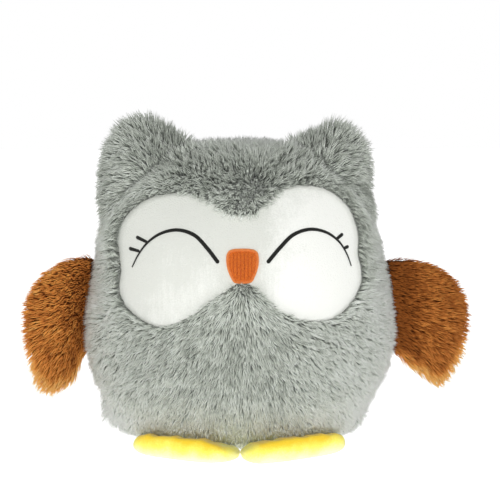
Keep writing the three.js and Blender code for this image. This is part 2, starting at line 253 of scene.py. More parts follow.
def fabric(name, roughness, sheen, source, output):
    """A new cloth material and the socket that its pattern starts from, by the name of a node's
    output."""
    material = bpy.data.materials.new(name)
    material.use_nodes = True
    tree = material.node_tree
    shader = tree.nodes["Principled BSDF"]
    shader.inputs["Roughness"].default_value = roughness
    shader.inputs["Sheen Weight"].default_value = sheen
    shader.inputs["Sheen Roughness"].default_value = 0.6
    shader.inputs["Specular IOR Level"].default_value = 0.2
    start = tree.nodes.new("ShaderNode" + source)
    return material, shader, Socket(tree, start.outputs[output])


def finish_with(shader, colour, height=None, depth=None):
    """Links a colour, and a height in metres as a bump, to a material's shader."""
    colour.tree.links.new(colour.output, shader.inputs["Base Color"])
    if height is not None:
        bump = height.node("Bump", None, {"Height": height, "Distance": depth, "Strength": 1.0})
        colour.tree.links.new(bump.output, shader.inputs["Normal"])


def backing_finish(name, colour, groove_colour):
    """Knitted backing: fine ribs, a little darker between them."""
    material, shader, place = fabric(name, 0.95, 0.0, "TexCoord", "Object")
    ribs = place.node("TexWave", {"wave_type": "BANDS"}, {"Vector": place, "Scale": 400.0})
    finish_with(shader, (ribs * 0.3).mixed(linear(colour), linear(groove_colour)), ribs, 0.0003)
    return material


body_size = (body_half_width, belly_depth, body_height)
body_profile = rounded(np.array(body_profile_shares) * body_size, profile_steps)


def body_place(along, around):
    """Place on the body at the tips of the pile. along runs from 0 at the seat's middle to 1 at the
    crown. The profile's half width and depth at along are drawn into an ellipse by the angle around,
    which starts at the owl's left and passes its back, and the depth is smaller behind."""
    steps = np.linspace(0, 1, len(body_profile))
    width, depth, height = (np.interp(along, steps, column) for column in body_profile.T)
    depth = np.where(np.sin(around) < 0, depth, depth * back_depth / belly_depth)
    return np.stack([width * np.cos(around), depth * np.sin(around), height + 0 * around], axis=-1)


face_box_share = 0.99
face_half_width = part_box("face_patch")[1].x * METRE / face_box_share
face_half_height = 49.5
face_middle = 154.5
cheek_swell = 4
cheek_reach = 34


def swell_at(x, z):
    """How far the stuffing pushes each round half of the face out: a bell about the half's middle."""
    from_cheek = np.hypot(np.abs(x) - face_half_width / 2, z - face_middle)
    return cheek_swell * np.exp(-((from_cheek / cheek_reach) ** 2))


crease_depth = 5
crease_reach = 3
side_swells = [
    # how far the owl's right side is pushed out, and at which height: its temple and its hip
    (2.5, 172), (7, 20),
]
side_swell_inset = 8
side_swell_reaches = (24, 18)
crease_points = [(36, 230), (60, 223), (80, 211.5), (95, 199), (106, 184), (112, 160)]
crease_line = rounded(crease_points, 60)
crease_fade = (4, 32)
crease_tail = 12


def near_crease(x, z, reach):
    """The crease runs from the inside of each ear's root down the temple. Gives the way along it,
    across and up, and how near it is: 1 on the crease, falling as a bell of this reach, and faded out
    at its ends. The last value is the same bell on the upper end alone, where fur runs over the ear's
    root."""
    place = np.stack([np.abs(x), z], axis=-1)
    near = np.argmin(np.linalg.norm(place[..., None, :] - crease_line, axis=-1), axis=-1)
    bell = np.exp(-np.sum(((place - crease_line[near]) / reach) ** 2, axis=-1))
    fade = smooth(near, *crease_fade)
    way = np.gradient(crease_line, axis=0)[near] * np.stack([np.sign(x), np.ones_like(x)], axis=-1)
    return way, bell * fade * smooth(len(crease_line) - 1 - near, 0, crease_tail), bell * (1 - fade)


def base_seam(x):
    """Height of the base panel's seam across the body."""
    out = np.minimum(np.abs(x) / (body_half_width - base_tip_inset), 1)
    return base_seam_height + base_seam_rise * out**base_seam_curl


def seam_along(around):
    """How far along the profile the base panel's seam lies at each angle: the first place above the
    seam."""
    tries = np.linspace(0, 1, 1200)
    place = body_place(tries[:, None], around[None, :])
    above = place[..., 2] > base_seam(place[..., 0]) + 0.01
    return tries[np.argmax(above, axis=0)]


def panel_grid(low, high, from_angle, to_angle, rows, columns):
    """A panel's cloth as a grid of places and outward normals. The tips of the pile are moved in by the
    pile's depth, which is small where the seat crushes it, out by the swell of the face, and in again
    along seams."""
    around = np.radians(np.linspace(from_angle, to_angle, columns))
    share = np.linspace(0, 1, rows)[:, None]
    start = low(around) if callable(low) else np.full(columns, float(low))
    end = high(around) if callable(high) else np.full(columns, float(high))
    along = start + (end - start) * share
    place = body_place(along, around[None, :])
    normals = grid_normals(place, False, (0, 0, body_height / 2))
    x, y, z = np.moveaxis(place, -1, 0)
    depth = crushed_pile_depth + (pile_depth - crushed_pile_depth) * smooth(z, 0, crush_height)
    depth = depth - swell_at(x, z) * (y < 0)
    depth = depth + crease_depth * near_crease(x, z, crease_reach)[1] * (y < 0)
    for swell, height in side_swells:
        across, up = x + body_half_width - side_swell_inset, z - height
        off = np.hypot(across / side_swell_reaches[0], up / side_swell_reaches[1])
        depth = depth - swell * np.exp(-(off**2))
    side_seam = np.exp(-((y / seam_pull_reach) ** 2)) * smooth(z, *side_seam_start)
    depth = depth + seam_pull * side_seam
    depth = depth + seam_pull * np.exp(-(((z - base_seam(x)) / seam_pull_reach) ** 2))
    return place - depth[..., None] * normals, normals


def outline_reach(outline, middle, x, z):
    """How far out a place is from the middle of an outline, as a share of the outline's reach on that
    side."""
    off = outline - middle
    angle = np.unwrap(np.arctan2(off[:, 1], off[:, 0]))
    order = np.argsort(np.mod(angle, 2 * np.pi))
    turn, reach = np.mod(angle, 2 * np.pi)[order], np.hypot(*off.T)[order]
    sought = np.mod(np.arctan2(z - middle[1], x - middle[0]), 2 * np.pi)
    edge = np.interp(sought, turn, reach, period=2 * np.pi)
    return np.hypot(x - middle[0], z - middle[1]) / edge


face_outline_shares = {
    # across and up, from the notch over the beak round one half to the notch under it, on the owl's own
    # sides
    "left": [
        (0, 0.66), (0.1, 0.7), (0.19, 0.83), (0.29, 0.99), (0.42, 1.07), (0.56, 1.06),
        (0.69, 1), (0.8, 0.87), (0.89, 0.68), (0.945, 0.43), (0.965, 0.18), (0.955, 0),
        (0.985, -0.25), (0.985, -0.45), (0.945, -0.61), (0.87, -0.79), (0.77, -0.93),
        (0.65, -0.98), (0.5, -0.96), (0.38, -0.89), (0.27, -0.78), (0.19, -0.62), (0.1, -0.44),
        (0, -0.34),
    ],
    "right": [
        (0.12, 0.7), (0.22, 0.83), (0.34, 0.93), (0.48, 0.97), (0.63, 0.94), (0.77, 0.85),
        (0.9, 0.67), (0.985, 0.44), (1.015, 0.22), (1, -0.06), (0.985, -0.28), (1, -0.52),
        (0.975, -0.7), (0.89, -0.88), (0.77, -1.01), (0.65, -1.06), (0.54, -1), (0.39, -0.85),
        (0.24, -0.62), (0.1, -0.43),
    ],
}
face_steps = 240
face_mirrored = np.array(face_outline_shares["right"][::-1]) * (-1, 1)
face_outline = np.concatenate([face_outline_shares["left"], face_mirrored])
face_outline = face_outline * (face_half_width, face_half_height)
face_outline = rounded(face_outline, face_steps, closed=True) + (0, face_middle)
face_centre = np.array([0, face_middle])
face_hole_share = 0.93
panel_spans = {
    # where a panel starts and ends along the profile, and the angles that it spans
    "front": (seam_along, 1, -180, 0),
    "back": (seam_along, 1, 180, 0),
    "base": (seam_along, 0, -180, 180),
}
cloth_steps = {"front": (90, 121), "back": (90, 121), "base": (30, 181)}
backing = backing_finish("backing_knit", backing_colour, backing_groove_colour)


def thin_shell(piece):
    """Gives an open sheet the thickness of cloth, inwards."""
    close_up(piece)
    shell = piece.modifiers.new("cloth", "SOLIDIFY")
    shell.thickness = cloth_thickness / METRE
    shell.offset = -1


def body_panel(side_name, *stands_for):
    """One panel's backing cloth as a thin closed shell, less what the face patch covers."""
    grid, _ = panel_grid(*panel_spans[side_name], *cloth_steps[side_name])
    faces = grid_faces(*grid.shape[:2], False)
    points = grid.reshape(-1, 3)
    middle = points[faces].mean(axis=1)
    reach = outline_reach(face_outline, face_centre, middle[:, 0], middle[:, 2])
    faces = faces[(reach >= face_hole_share) | (middle[:, 1] >= 0)]
    used, faces = np.unique(faces, return_inverse=True)
    piece = as_mesh(f"{side_name}_panel_cloth", points[used], faces.reshape(-1, 4), backing)
    thin_shell(piece)
    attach(piece, "owl_body")
    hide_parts(*stands_for)


body_panel("front", "front_panel", "body_stuffing")
body_panel("back", "back_panel")
body_panel("base", "base_panel")

# Pile of the body: long soft grey fibre knitted into the cloth, which lies in tufts. It parts under the
# beak and fans out over the belly, stands short and thick over the brow, and falls down the sides and
# the back.

strand_width = 0.7
strand_levels = np.array([0, 0.55, 1])
strand_girth = np.array([0.9, 1])
shade_strip = 0.02
tuft_size = 2.6
lock_size = 9
drift_size = 27
jitter_cells = 32
# how strands differ: degrees by which drifts, locks, tufts and single strands sway, by which a tuft
# curls, and by which its lean spreads; then shares of their length, and steps of their shade
drift_sway, lock_sway, tuft_sway, strand_sway = 24, 30, 40, 20
tuft_curl = 70
foot_spread, tip_tuft_spread, tip_lock_spread = 14, 22, 16
strand_stretch, lock_stretch = 0.36, 0.2
tuft_shade, lock_shade, strand_shade = 0.38, 0.2, 0.4
gather_power = 1.4
pile_spacings = {"front": 1.0, "back": 1.35, "base": 1.7}
pile_steps = {"front": (150, 201), "back": (150, 201), "base": (40, 301)}
pile_bands = [
    # each panel's pile from the top down: a piece's name, the height above which it lies, and whether
    # it is parted into left and right; then the seed of its first piece
    ("front", [("forehead", 190, False), ("cheek", 100, True), ("belly", -np.inf, True)], 20),
    ("back", [("nape", 120, True), ("back", -np.inf, True)], 30),
    ("base", [("base", -np.inf, False)], 40),
]
face_pile_share = 0.985
foot_top, foot_span = 9, (45, 38)
floor_gap = 0.3
# how far a strand darkens from tip to root, partly its own colour and partly painted shade deep in the
# pile, and how far its shade runs from dark to pale
root_to_tip, dark_to_pale = 0.36, 0.62
pile_colours = [(76, 83, 72), (156, 163, 151), (213, 219, 208), (242, 247, 239), (254, 255, 252)]


def scatter(grid, normals, wrapped, spacing, rng):
    """Roots spread evenly over a grid, with their normals. The grid's triangles are laid end to end by
    area, and every square of one spacing gets a root at a random place in the triangle that it falls
    in."""
    points, outwards = grid.reshape(-1, 3), normals.reshape(-1, 3)
    faces = grid_faces(*grid.shape[:2], wrapped)
    triangles = np.concatenate([faces[:, [0, 1, 2]], faces[:, [0, 2, 3]]], axis=1).reshape(-1, 3)
    a, b, c = (points[triangles[:, corner]] for corner in range(3))
    walked = np.cumsum(np.linalg.norm(np.cross(b - a, c - a), axis=1) / 2)
    count = int(walked[-1] / spacing**2)
    stops = (np.arange(count) + rng.random(count)) * walked[-1] / count
    chosen = triangles[np.minimum(np.searchsorted(walked, stops), len(triangles) - 1)]
    first, second = np.sqrt(rng.random(count)), rng.random(count)
    shares = np.stack([1 - first, first * (1 - second), first * second], axis=1)[..., None]
    return (points[chosen] * shares).sum(axis=1), unit((outwards[chosen] * shares).sum(axis=1))


def gathered(places, size, rng):
    """The nearest of a jittered grid of middles to each place, and four random numbers of its own."""
    jitter = rng.random((jitter_cells, jitter_cells, jitter_cells, 4))
    home = np.floor(places / size).astype(int)
    nearest = np.full(len(places), np.inf)
    middle = np.zeros_like(places)
    luck = np.zeros((len(places), 4))
    for offset in np.ndindex(3, 3, 3):
        cell = home + offset - 1
        numbers = jitter[tuple(np.mod(cell, jitter_cells).T)]
        centre = (cell + numbers[:, :3]) * size
        away = np.sum((places - centre) ** 2, axis=1)
        closer = away < nearest
        nearest = np.where(closer, away, nearest)
        middle = np.where(closer[:, None], centre, middle)
        luck = np.where(closer[:, None], numbers, luck)
    return middle, luck


def turned(vectors, axes, angles):
    """Vectors turned about unit axes at right angles to them, by an angle each."""
    return vectors * np.cos(angles)[:, None] + np.cross(axes, vectors) * np.sin(angles)[:, None]


def strands(roots, normals, flow, length, lean, rng, mess=1.0, gather=0.25, lowest=-np.inf):
    """Centrelines and shades of strands. A strand leaves its root at the first lean from the normal and
    bends to the last one towards the flow, which each tuft and each lock of tufts turns a little. Its
    outer part is drawn towards the middle of its tuft."""
    count = len(roots)
    tuft_middle, tuft_luck = gathered(roots, tuft_size, rng)
    _, lock_luck = gathered(roots, lock_size, rng)
    _, drift = gathered(roots, drift_size, rng)
    flow = unit(flow - np.sum(flow * normals, axis=1, keepdims=True) * normals)
    tuft_luck, lock_luck, drift = tuft_luck - 0.5, lock_luck - 0.5, drift - 0.5
    sway = drift_sway * drift[:, 3] + lock_sway * lock_luck[:, 3] + tuft_sway * tuft_luck[:, 3]
    sway = sway + strand_sway * (rng.random(count) - 0.5)
    flow = turned(flow, normals, mess * np.radians(sway))
    curl = mess * np.radians(tuft_curl) * tuft_luck[:, 0]
    rise = np.radians(lean[0] + mess * foot_spread * tuft_luck[:, 1])
    bend = tip_tuft_spread * tuft_luck[:, 2] + tip_lock_spread * lock_luck[:, 0]
    fall = np.radians(lean[1] + mess * bend)
    length = length * (1 + strand_stretch * (rng.random(count) - 0.5))
    length = length * (1 + lock_stretch * lock_luck[:, 1])
    line = [roots]
    for low, high in zip(strand_levels, strand_levels[1:]):
        share = (low + high) / 2
        angle = rise + (fall - rise) * share
        along = turned(flow, normals, curl * share)
        step = np.cos(angle)[:, None] * normals + np.sin(angle)[:, None] * along
        line.append(line[-1] + step * (length * (high - low))[:, None])
    towards = tuft_middle - roots
    towards = towards - np.sum(towards * normals, axis=1, keepdims=True) * normals
    line = np.stack(line, axis=1)
    drawn = np.asarray(gather)[..., None] * strand_levels**gather_power
    line += drawn[..., None] * towards[:, None, :]
    line[..., 2] = np.maximum(line[..., 2], lowest)
    shade = 0.5 + tuft_shade * tuft_luck[:, 3] + lock_shade * lock_luck[:, 2]
    return line, shade + strand_shade * (rng.random(count) - 0.5)


def pile_piece(name, material, line, normals, shade):
    """Every strand as a closed flat spike with three sides, its widest one outwards: a foot, two
    rings of three points square to its centreline, and a tip. In its map, across is its shade and up
    is from root to tip."""
    along = unit(np.gradient(line, axis=1))
    side = unit(np.cross(along, normals[:, None] + [0.02, 0.01, 0.03]))
    other = np.cross(side, along)
    ring_sideways, ring_up = np.array([1, -1, 0]), np.array([0.2, 0.2, -0.5])
    girth = strand_width / 2 * strand_girth[None, :, None, None]
    out = ring_sideways[:, None] * side[:, :2, None] + ring_up[:, None] * other[:, :2, None]
    ring = line[:, :2, None] + girth * out
    points = np.concatenate([ring.reshape(len(line), -1, 3), line[:, -1:]], axis=1)
    faces, map_across, map_up = [(0, 2, 1)], [(-0.5, 0.5, 0)], [(0, 0, 0.03)]
    bend, tip = strand_levels[1], points.shape[1] - 1
    for here in range(3):
        after, left, right = (here + 1) % 3, here / 3 - 0.5, (here + 1) / 3 - 0.5
        faces += [(here, after, after + 3), (here, after + 3, here + 3), (here + 3, after + 3, tip)]
        map_across += [(left, right, right), (left, right, left), (left, right, 0)]
        map_up += [(0, 0, bend), (0, bend, bend), (bend, bend, 1)]
    faces = np.array(faces)
    every = np.arange(len(line))[:, None, None] * points.shape[1] + faces
    across = 0.02 + 0.96 * np.clip(shade, 0, 1)[:, None, None] + shade_strip * np.array(map_across)
    across = np.clip(across, 0.001, 0.999)
    up = np.broadcast_to(0.01 + 0.98 * np.array(map_up), across.shape)
    uv = np.stack([across, up], axis=-1)
    piece = as_mesh(name, points.reshape(-1, 3), every.reshape(-1, 3), material, uv)
    return piece


def coordinate(place, axis):
    """One of a place's three numbers."""
    return place.node("SeparateXYZ", None, {0: place}, output=axis)


def ramp(value, stops):
    """Colours of 0 to 255 by a value that runs from 0 to 1, each at a value of its own."""
    stops = [(position, linear(colour)) for position, colour in stops]
    return value.node("ValToRGB", {"stops": stops}, {"Fac": value})


def pile_finish(name, colours, sheen):
    """Fibre that is a little darker at its root than at its tip, partly its own colour and partly painted
    shade deep in the pile, in many shades from dark to pale. Both come from the strand's map."""
    material, shader, strand_map = fabric(name, 0.85, sheen, "UVMap", "UV")
    strand_map.output.node.uv_map = "OFBake"
    level = coordinate(strand_map, "Y") * root_to_tip + coordinate(strand_map, "X") * dark_to_pale
    stops = [(number / (len(colours) - 1), colour) for number, colour in enumerate(colours)]
    finish_with(shader, ramp(level, stops))
    return material


grey_pile = pile_finish("grey_pile", pile_colours, 0.3)


def near_face(x, y, z, reach):
    """1 at the face patch's edge and 0 from this share of its outline's reach beyond it."""
    return smooth(outline_reach(face_outline, face_centre, x, z), 1 + reach, 1) * (y < 0)


chin_whorl = (1, 136)
brow_whorl = (10, 211)
whorl_reach = 7
crease_pull, ear_pull, notch_pull = 0.5, 1.5, 1.5


def whorl(x, y, z, middle):
    """1 at the middle of a whorl of the pile, falling as a bell."""
    off = ((x - middle[0]) / whorl_reach) ** 2 + ((z - middle[1]) / whorl_reach) ** 2
    return np.exp(-off) * (y < 0)


def upright(across, up):
    """Directions square to the owl's depth, from how far they go across and up."""
    return np.stack([across, 0 * across, up + 0 * across], axis=1)


def body_flow(roots):
    """Which way the body's pile lies. In front it fans out from a whorl under the beak over the belly,
    and from another over the notch over the brow. It follows the rim of the face and the creases, and
    stands over the patch's edge. It falls down the sides and the back."""
    x, y, z = roots.T
    off = np.abs(x)
    fan_fall = z - chin_whorl[1] - 0.2 * off * smooth(off, 15, 60)
    fan = unit(upright(0.95 * (x - chin_whorl[0]), np.minimum(fan_fall, -1)))
    brow = unit(upright(x - brow_whorl[0], z - brow_whorl[1]))
    past_cheek = np.maximum(off - face_half_width / 2, 6)
    rim = unit(upright(np.sign(x) * np.maximum(z - face_middle, 0), -past_cheek))
    above = smooth(z, 125, 150)[:, None]
    high = (smooth(z, 176, 192) * smooth(off, 75, 40))[:, None]
    facing = (fan * (1 - above) + rim * above) * (1 - high) + brow * high
    temple = (smooth(off, 80, 98) * smooth(z, 92, 120) * smooth(z, 195, 172))[:, None]
    facing = facing * (1 - temple) + upright(np.sign(x), -0.25) * temple
    way, bell, upper = near_crease(x, z, 6)
    facing = facing + crease_pull * bell[:, None] * unit(upright(way[:, 0], way[:, 1]))
    facing = facing + ear_pull * upper[:, None] * upright(0.5 * np.sign(x), 1)
    inner = face_centre + 0.9 * (face_outline[::3] - face_centre)
    place = np.stack([x, z], axis=1)
    inwards = unit(inner[np.argmin(np.linalg.norm(place[:, None] - inner, axis=-1), axis=1)] - place)
    edge = near_face(x, y, z, 0.12) * (0.8 + 0.5 * above[:, 0])
    facing = facing + edge[:, None] * upright(inwards[:, 0], inwards[:, 1])
    notch = near_face(x, y, z, 0.25) * smooth(z, 172, 182) * smooth(off, 42, 20)
    facing = facing + notch_pull * notch[:, None] * upright(0.012 * x, -1)
    behind = unit(upright(0.25 * x, -100))
    front = smooth(-y, -10, 15)[:, None]
    over = upright(0.2 * np.sign(x), 0.3) + (0, 1, 0)
    crown = smooth(z, 230, 240)[:, None]
    return (facing * front + behind * (1 - front)) * (1 - crown) + over * crown


def body_grooming(x, y, z):
    """How the body's pile is groomed, summed over the stretches that each place lies in: its length,
    its lean from the normal at the foot and at the tip, how far it strays and gathers into tufts, and
    its shade, into which some stretches paint light and others paint shade."""
    off, front = np.abs(x), y < 0
    brow = smooth(z, 180, 194) * smooth(z, 236, 218) * smooth(off, 80, 35) * front
    edge = near_face(x, y, z, 0.09)
    side = smooth(off, 84, 112)
    head = smooth(z, 198, 220) * (y < 20)
    notch = edge * smooth(z, 170, 185) * smooth(np.abs(x + 8), 50, 30)
    _, crease, ear_root = near_crease(x, z, 3.5)
    hips = np.exp(-(((off - 108) / 9) ** 2 + ((z - 22) / 12) ** 2 + (y / 30) ** 2))
    outer_belly = smooth(np.abs(x + 15), 35, 75) * smooth(z, 130, 100)
    # the middle of the belly below the face, where painted shade darkens the pile
    belly = np.exp(-(((x + 15) / 80) ** 2) - ((z - 76) / 42) ** 2) * front
    # beside the patch's edge high on the sides, where painted shadow darkens the pile
    rim = near_face(x, y, z, 0.07) * smooth(off, 50, 72) * smooth(z, 135, 160)
    stretches = {
        # what a stretch adds, and how far each place lies in it, from 0 to 1
        "everywhere": ((10, 20, 76, 0.6, 0.18, 0), 1 + 0 * x),
        "seat": ((-4, 36, 2, 0, 0, 0), smooth(z, 26, 4)),
        "hips": ((5, 0, -30, 0, 0, 0), hips),
        "sides": ((0, 0, 0, 0.3, 0.2, 0), side),
        # painted light where light rims the sides of the front
        "painted light on the front of the sides": ((0, 0, 0, 0, 0, 0.2), side * front),
        "temples": ((0, 0, -34, 0, 0, 0), smooth(off, 90, 112) * smooth(z, 60, 100)),
        "middle": ((0, 0, 0, -0.15, -0.08, 0), smooth(off, 70, 20) * smooth(z, 140, 110)),
        "lower half": ((-1.5, 0, 0, 0, 0, 0), (z < 110) * (1 - side)),
        "outer belly": ((0, 0, -12, 0.5, 0.12, 0), outer_belly),
        # painted shade on the belly below the face
        "belly": ((0, 0, 0, 0, 0, -0.24), belly),
        # painted light from the table on the lower edges of the front
        "painted light on the hem": ((0, 0, 0, 0, 0, 0.35), smooth(off, 60, 105) * smooth(z, 70, 15) * front),
        "lit from the table": ((0, 0, 0, 0, 0, 0.55), smooth(z, 50, 5) * front),
        "lit cheek": ((0, 0, 0, 0, 0, 0.14), smooth(x, 25, 70) * smooth(z, 150, 110) * front),
        # the pile parts at the chin's whorl under the beak, and its darker shade there is painted shade
        "chin with painted shade": ((-4, -12, -30, 0, 0, -0.4), whorl(x, y, z, chin_whorl)),
        "patch edge": ((0, -8, -30, 0.5, 0, 0), edge),
        # painted shadow beside the patch's upper edge
        "painted shadow by the upper rim": ((0, 0, 0, 0, 0, -0.12), rim),
        "notch": ((0, 24, 44, -1.1, -0.3, 0.3), notch),
        # painted shade in the creases below the ears, over their real groove
        "creases": ((0, 0, 0, 0, 0, -0.6), crease * front),
        "ear roots": ((2, 0, -26, 0, 0, 0), ear_root * front),
        "brow": ((-1, -4, -14, 0.8, 0.4, 0), brow),
        "brow whorl": ((0, 0, -20, 0, 0, 0), whorl(x, y, z, brow_whorl)),
        # painted shade on the brow, where one sees down into the standing pile
        "painted shade on the brow": ((0, 0, 0, 0, 0, -0.26), brow**2 * smooth(z, 184, 204)),
        "head": ((0, 0, -24, 1.1, 0, 0), head),
        "head round the brow": ((0, 0, 0, 0, 0.3, 0), head * (1 - brow)),
        "crown": ((0, 0, -20, 0.7, 0.2, 0.4), smooth(z, 226, 238)),
    }
    return sum(share[:, None] * adds for adds, share in stretches.values()).T


def body_pile(name, roots, normals, seed):
    """A piece of the body's pile."""
    rng = np.random.default_rng(seed)
    # tone is the stretches' shade, which holds painted light and painted shade where they are marked
    length, foot_lean, tip_lean, mess, gather, tone = body_grooming(*roots.T)
    lean = (foot_lean, tip_lean)
    line, shade = strands(roots, normals, body_flow(roots), length, lean, rng, mess, gather, floor_gap)
    piece = pile_piece(name, grey_pile, line, normals, shade + tone)
    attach(piece, "owl_body")


pile_rng = np.random.default_rng(11)
for side_name, bands, seed in pile_bands:
    grid, outwards = panel_grid(*panel_spans[side_name], *pile_steps[side_name])
    roots, normals = scatter(grid, outwards, False, pile_spacings[side_name], pile_rng)
    x, y, z = roots.T
    if side_name == "front":
        over_foot = (z < foot_top) & (np.abs(np.abs(x) - foot_span[0]) < foot_span[1])
        shown = (outline_reach(face_outline, face_centre, x, z) > face_pile_share) & ~over_foot
        roots, normals = roots[shown], normals[shown]
        x, y, z = roots.T
    highest = np.inf
    for band, lowest, parted in bands:
        halves = {"left_": x > 0, "right_": x <= 0} if parted else {"": x == x}
        for half, on_side in halves.items():
            zone = on_side & (z > lowest) & (z <= highest)
            body_pile(f"{half}{band}_pile", roots[zone], normals[zone], seed)
            seed += 1
        highest = lowest

# Face patch: short smooth white pile, let into the front panel and drawn tight over two round cheeks of
# stuffing, with a shallow valley between them.

smooth_pile_depth = 5.5
profile_seat_steps = 40
patch_rings = 60
patch_clouds, patch_nap, patch_weave = 0.4, 0.3, 0.18
# painted light that lightens the patch towards the owl's left, painted shade that darkens it upwards
# under the brow's pile, and its overall tone
patch_painted_side_light, patch_painted_brow_shade, patch_tone = 3.5, -2.5, 0.06
patch_edge_tuck = 1.5
patch_colour = (240, 241, 236)
patch_shadow_colour = (214, 216, 209)


def front_outside(x, z):
    """Place and outward normal on the front of the body at the tips of its pile, from across and up."""
    side = body_profile[profile_seat_steps:]

    def depth_at(x, z):
        width, depth = (np.interp(z, side[:, 2], side[:, column]) for column in (0, 1))
        return -depth * np.sqrt(np.maximum(1 - (x / width) ** 2, 0.01))

    step = 0.5
    across = (depth_at(x + step, z) - depth_at(x - step, z)) / (2 * step)
    up = (depth_at(x, z + step) - depth_at(x, z - step)) / (2 * step)
    return depth_at(x, z), unit(np.stack([across, -1 + 0 * x, up], axis=-1))


def on_patch(x, z, above=0.0):
    """Places on the face patch at across and up, or as far above it as asked: the place at the pile's
    tips that lands there once it is moved in along its normal, found by a few corrections."""
    out_x, out_z = x, z
    for _ in range(5):
        y, normal = front_outside(out_x, out_z)
        depth = smooth_pile_depth - above - swell_at(x, z)
        out_x = x + depth * normal[..., 0]
        out_z = z + depth * normal[..., 2]
    y, normal = front_outside(out_x, out_z)
    return np.stack([x + 0 * y, y - depth * normal[..., 1], z + 0 * y], axis=-1)


def grain(place, scale, detail):
    """Noise over a cloth, finer as its scale grows."""
    return place.node("TexNoise", None, {"Vector": place, "Scale": scale, "Detail": detail})


def patch_finish():
    """Short white pile: fine nap, faint upright marks of the weave, and soft grey clouds where it is
    brushed the other way. A painted fall of light makes it greyer towards the owl's right, and painted
    shade darkens the valley between the cheeks and the top under the brow's pile."""
    material, shader, place = fabric("white_velboa", 0.9, 0.25, "TexCoord", "Object")
    clouds = grain(place, 45.0, 3.0)
    nap = grain(place, 900.0, 4.0)
    across, up = coordinate(place, "X"), coordinate(place, "Z")
    off_middle = across.math("ABSOLUTE", across, 0.0)
    # painted shade in the valley between the cheeks, under the notch's pile
    painted_valley_shade = off_middle.math("MINIMUM", off_middle * 12.0, 0.35)
    drawn = place.node("VectorMath", {"operation": "MULTIPLY"}, {0: place, 1: (500.0, 500.0, 50.0)})
    weave = grain(drawn, 1.0, 2.0)
    tone = clouds * patch_clouds + nap * patch_nap + weave * patch_weave
    # painted light across the patch, and painted shade in the valley and towards the top
    tone = tone + across * patch_painted_side_light + painted_valley_shade + up * patch_painted_brow_shade + patch_tone
    stops = [(0.3, patch_shadow_colour), (0.6, patch_colour)]
    finish_with(shader, ramp(tone, stops), nap, 0.0005)
    return material


def face_patch():
    """Rings that are shares of the patch's outline, from its middle out, laid on the face. The
    outermost ones turn in under the pile round it."""
    share = np.linspace(0, 1, patch_rings)[:, None]
    flat = face_centre + share[..., None] * (face_outline - face_centre)
    grid = on_patch(flat[..., 0], flat[..., 1], above=-patch_edge_tuck * smooth(share, 0.95, 1.0))
    faces = grid_faces(*grid.shape[:2], True)
    piece = as_mesh("face_patch_velboa", grid.reshape(-1, 3), faces, patch_finish())
    thin_shell(piece)
    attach(piece, "owl_body")
    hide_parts("face_patch")


face_patch()

# Closed eyes: black thread in satin stitch on the face patch, an arched lid that thins towards its outer
# end and two short lashes.

thread_pitch = 0.45
thread_relief = 0.16
lid_widths = [3, 3, 2.8, 2.4, 1.9, 1.3, 0.9]
lash_widths = [2.2, 2.9]
lid_steps, lash_steps = 900, 90
eye_thread_height = 0.9
eye_thread_sink = 0.6
thread_colour = (6, 7, 4)
thread_highlight = (26, 27, 22)
lid_line_shares = [
    # across and up from the middle of the face, from the inner end to the outer end
    (0.205, -0.03), (0.312, 0.2), (0.417, 0.375), (0.552, 0.443), (0.687, 0.382),
    (0.795, 0.224), (0.86, 0.03), (0.899, -0.164),
]
lid_arch = {"left": 0, "right": -0.028}
eye_shifts = {"left": (-1.1, -0.7), "right": (1.6, -0.6)}
lash_shares = {
    # the inner and outer end of the upper and the lower lash of each eye
    "left": [[(0.765, 0.26), (0.83, 0.34)], [(0.828, 0.115), (0.878, 0.14)]],
    "right": [[(0.77, 0.235), (0.865, 0.3)], [(0.835, 0.09), (0.925, 0.115)]],
}


def satin_stroke(line, widths, height, steps, closed=False):
    """A raised band of thread along a line on the face, as a closed skin: its section is a low arch
    over a flat underside, ridged once for each thread, and rounded off at open ends."""
    line = rounded(line, steps, closed)
    forward = np.gradient(line, axis=0)
    if closed:
        forward = np.roll(line, -1, axis=0) - np.roll(line, 1, axis=0)
    forward = unit(forward)
    side = np.stack([-forward[:, 1], forward[:, 0]], axis=1)
    length = np.concatenate([[0], np.cumsum(np.linalg.norm(np.diff(line, axis=0), axis=1))])
    width = np.interp(length / length[-1], np.linspace(0, 1, len(widths)), widths)
    round_off = np.ones(steps)
    if not closed:
        to_end = np.minimum(length, length[-1] - length) / (width / 2)
        round_off = np.sqrt(np.clip(to_end * (2 - to_end), 0, 1) * (to_end < 1) + (to_end >= 1))
    ridge = 1 + thread_relief * np.cos(2 * np.pi * length / thread_pitch)
    turn = np.linspace(0, 2 * np.pi, 14, endpoint=False)
    across = np.cos(turn)[None, :] * (width * round_off / 2)[:, None]
    arch = np.where(np.sin(turn) > 0, np.sin(turn) * height, np.sin(turn) * eye_thread_sink)
    rise = arch[None, :] * (ridge * round_off)[:, None]
    flat = line[:, None] + across[..., None] * side[:, None]
    return on_patch(flat[..., 0], flat[..., 1], rise)


def thread_finish(name, colour, highlight):
    """Shiny thread with painted highlights on a few fibres."""
    material, shader, place = fabric(name, 0.5, 0.1, "TexCoord", "Object")
    fibres = grain(place, 1000.0, 2.0)
    finish_with(shader, fibres.mixed(linear(colour), linear(highlight)), fibres, 0.0001)
    return material


def joined(name, grids, material, wrapped_rows=False):
    """One mesh from several grids that close round their columns, and round their rows where asked."""
    points, faces, first = [], [], 0
    for grid in grids:
        if wrapped_rows:
            grid = np.concatenate([grid, grid[:1]])
        points.append(grid.reshape(-1, 3))
        faces.append(grid_faces(*grid.shape[:2], True) + first)
        first += points[-1].shape[0]
    return close_up(as_mesh(name, np.concatenate(points), np.concatenate(faces), material))


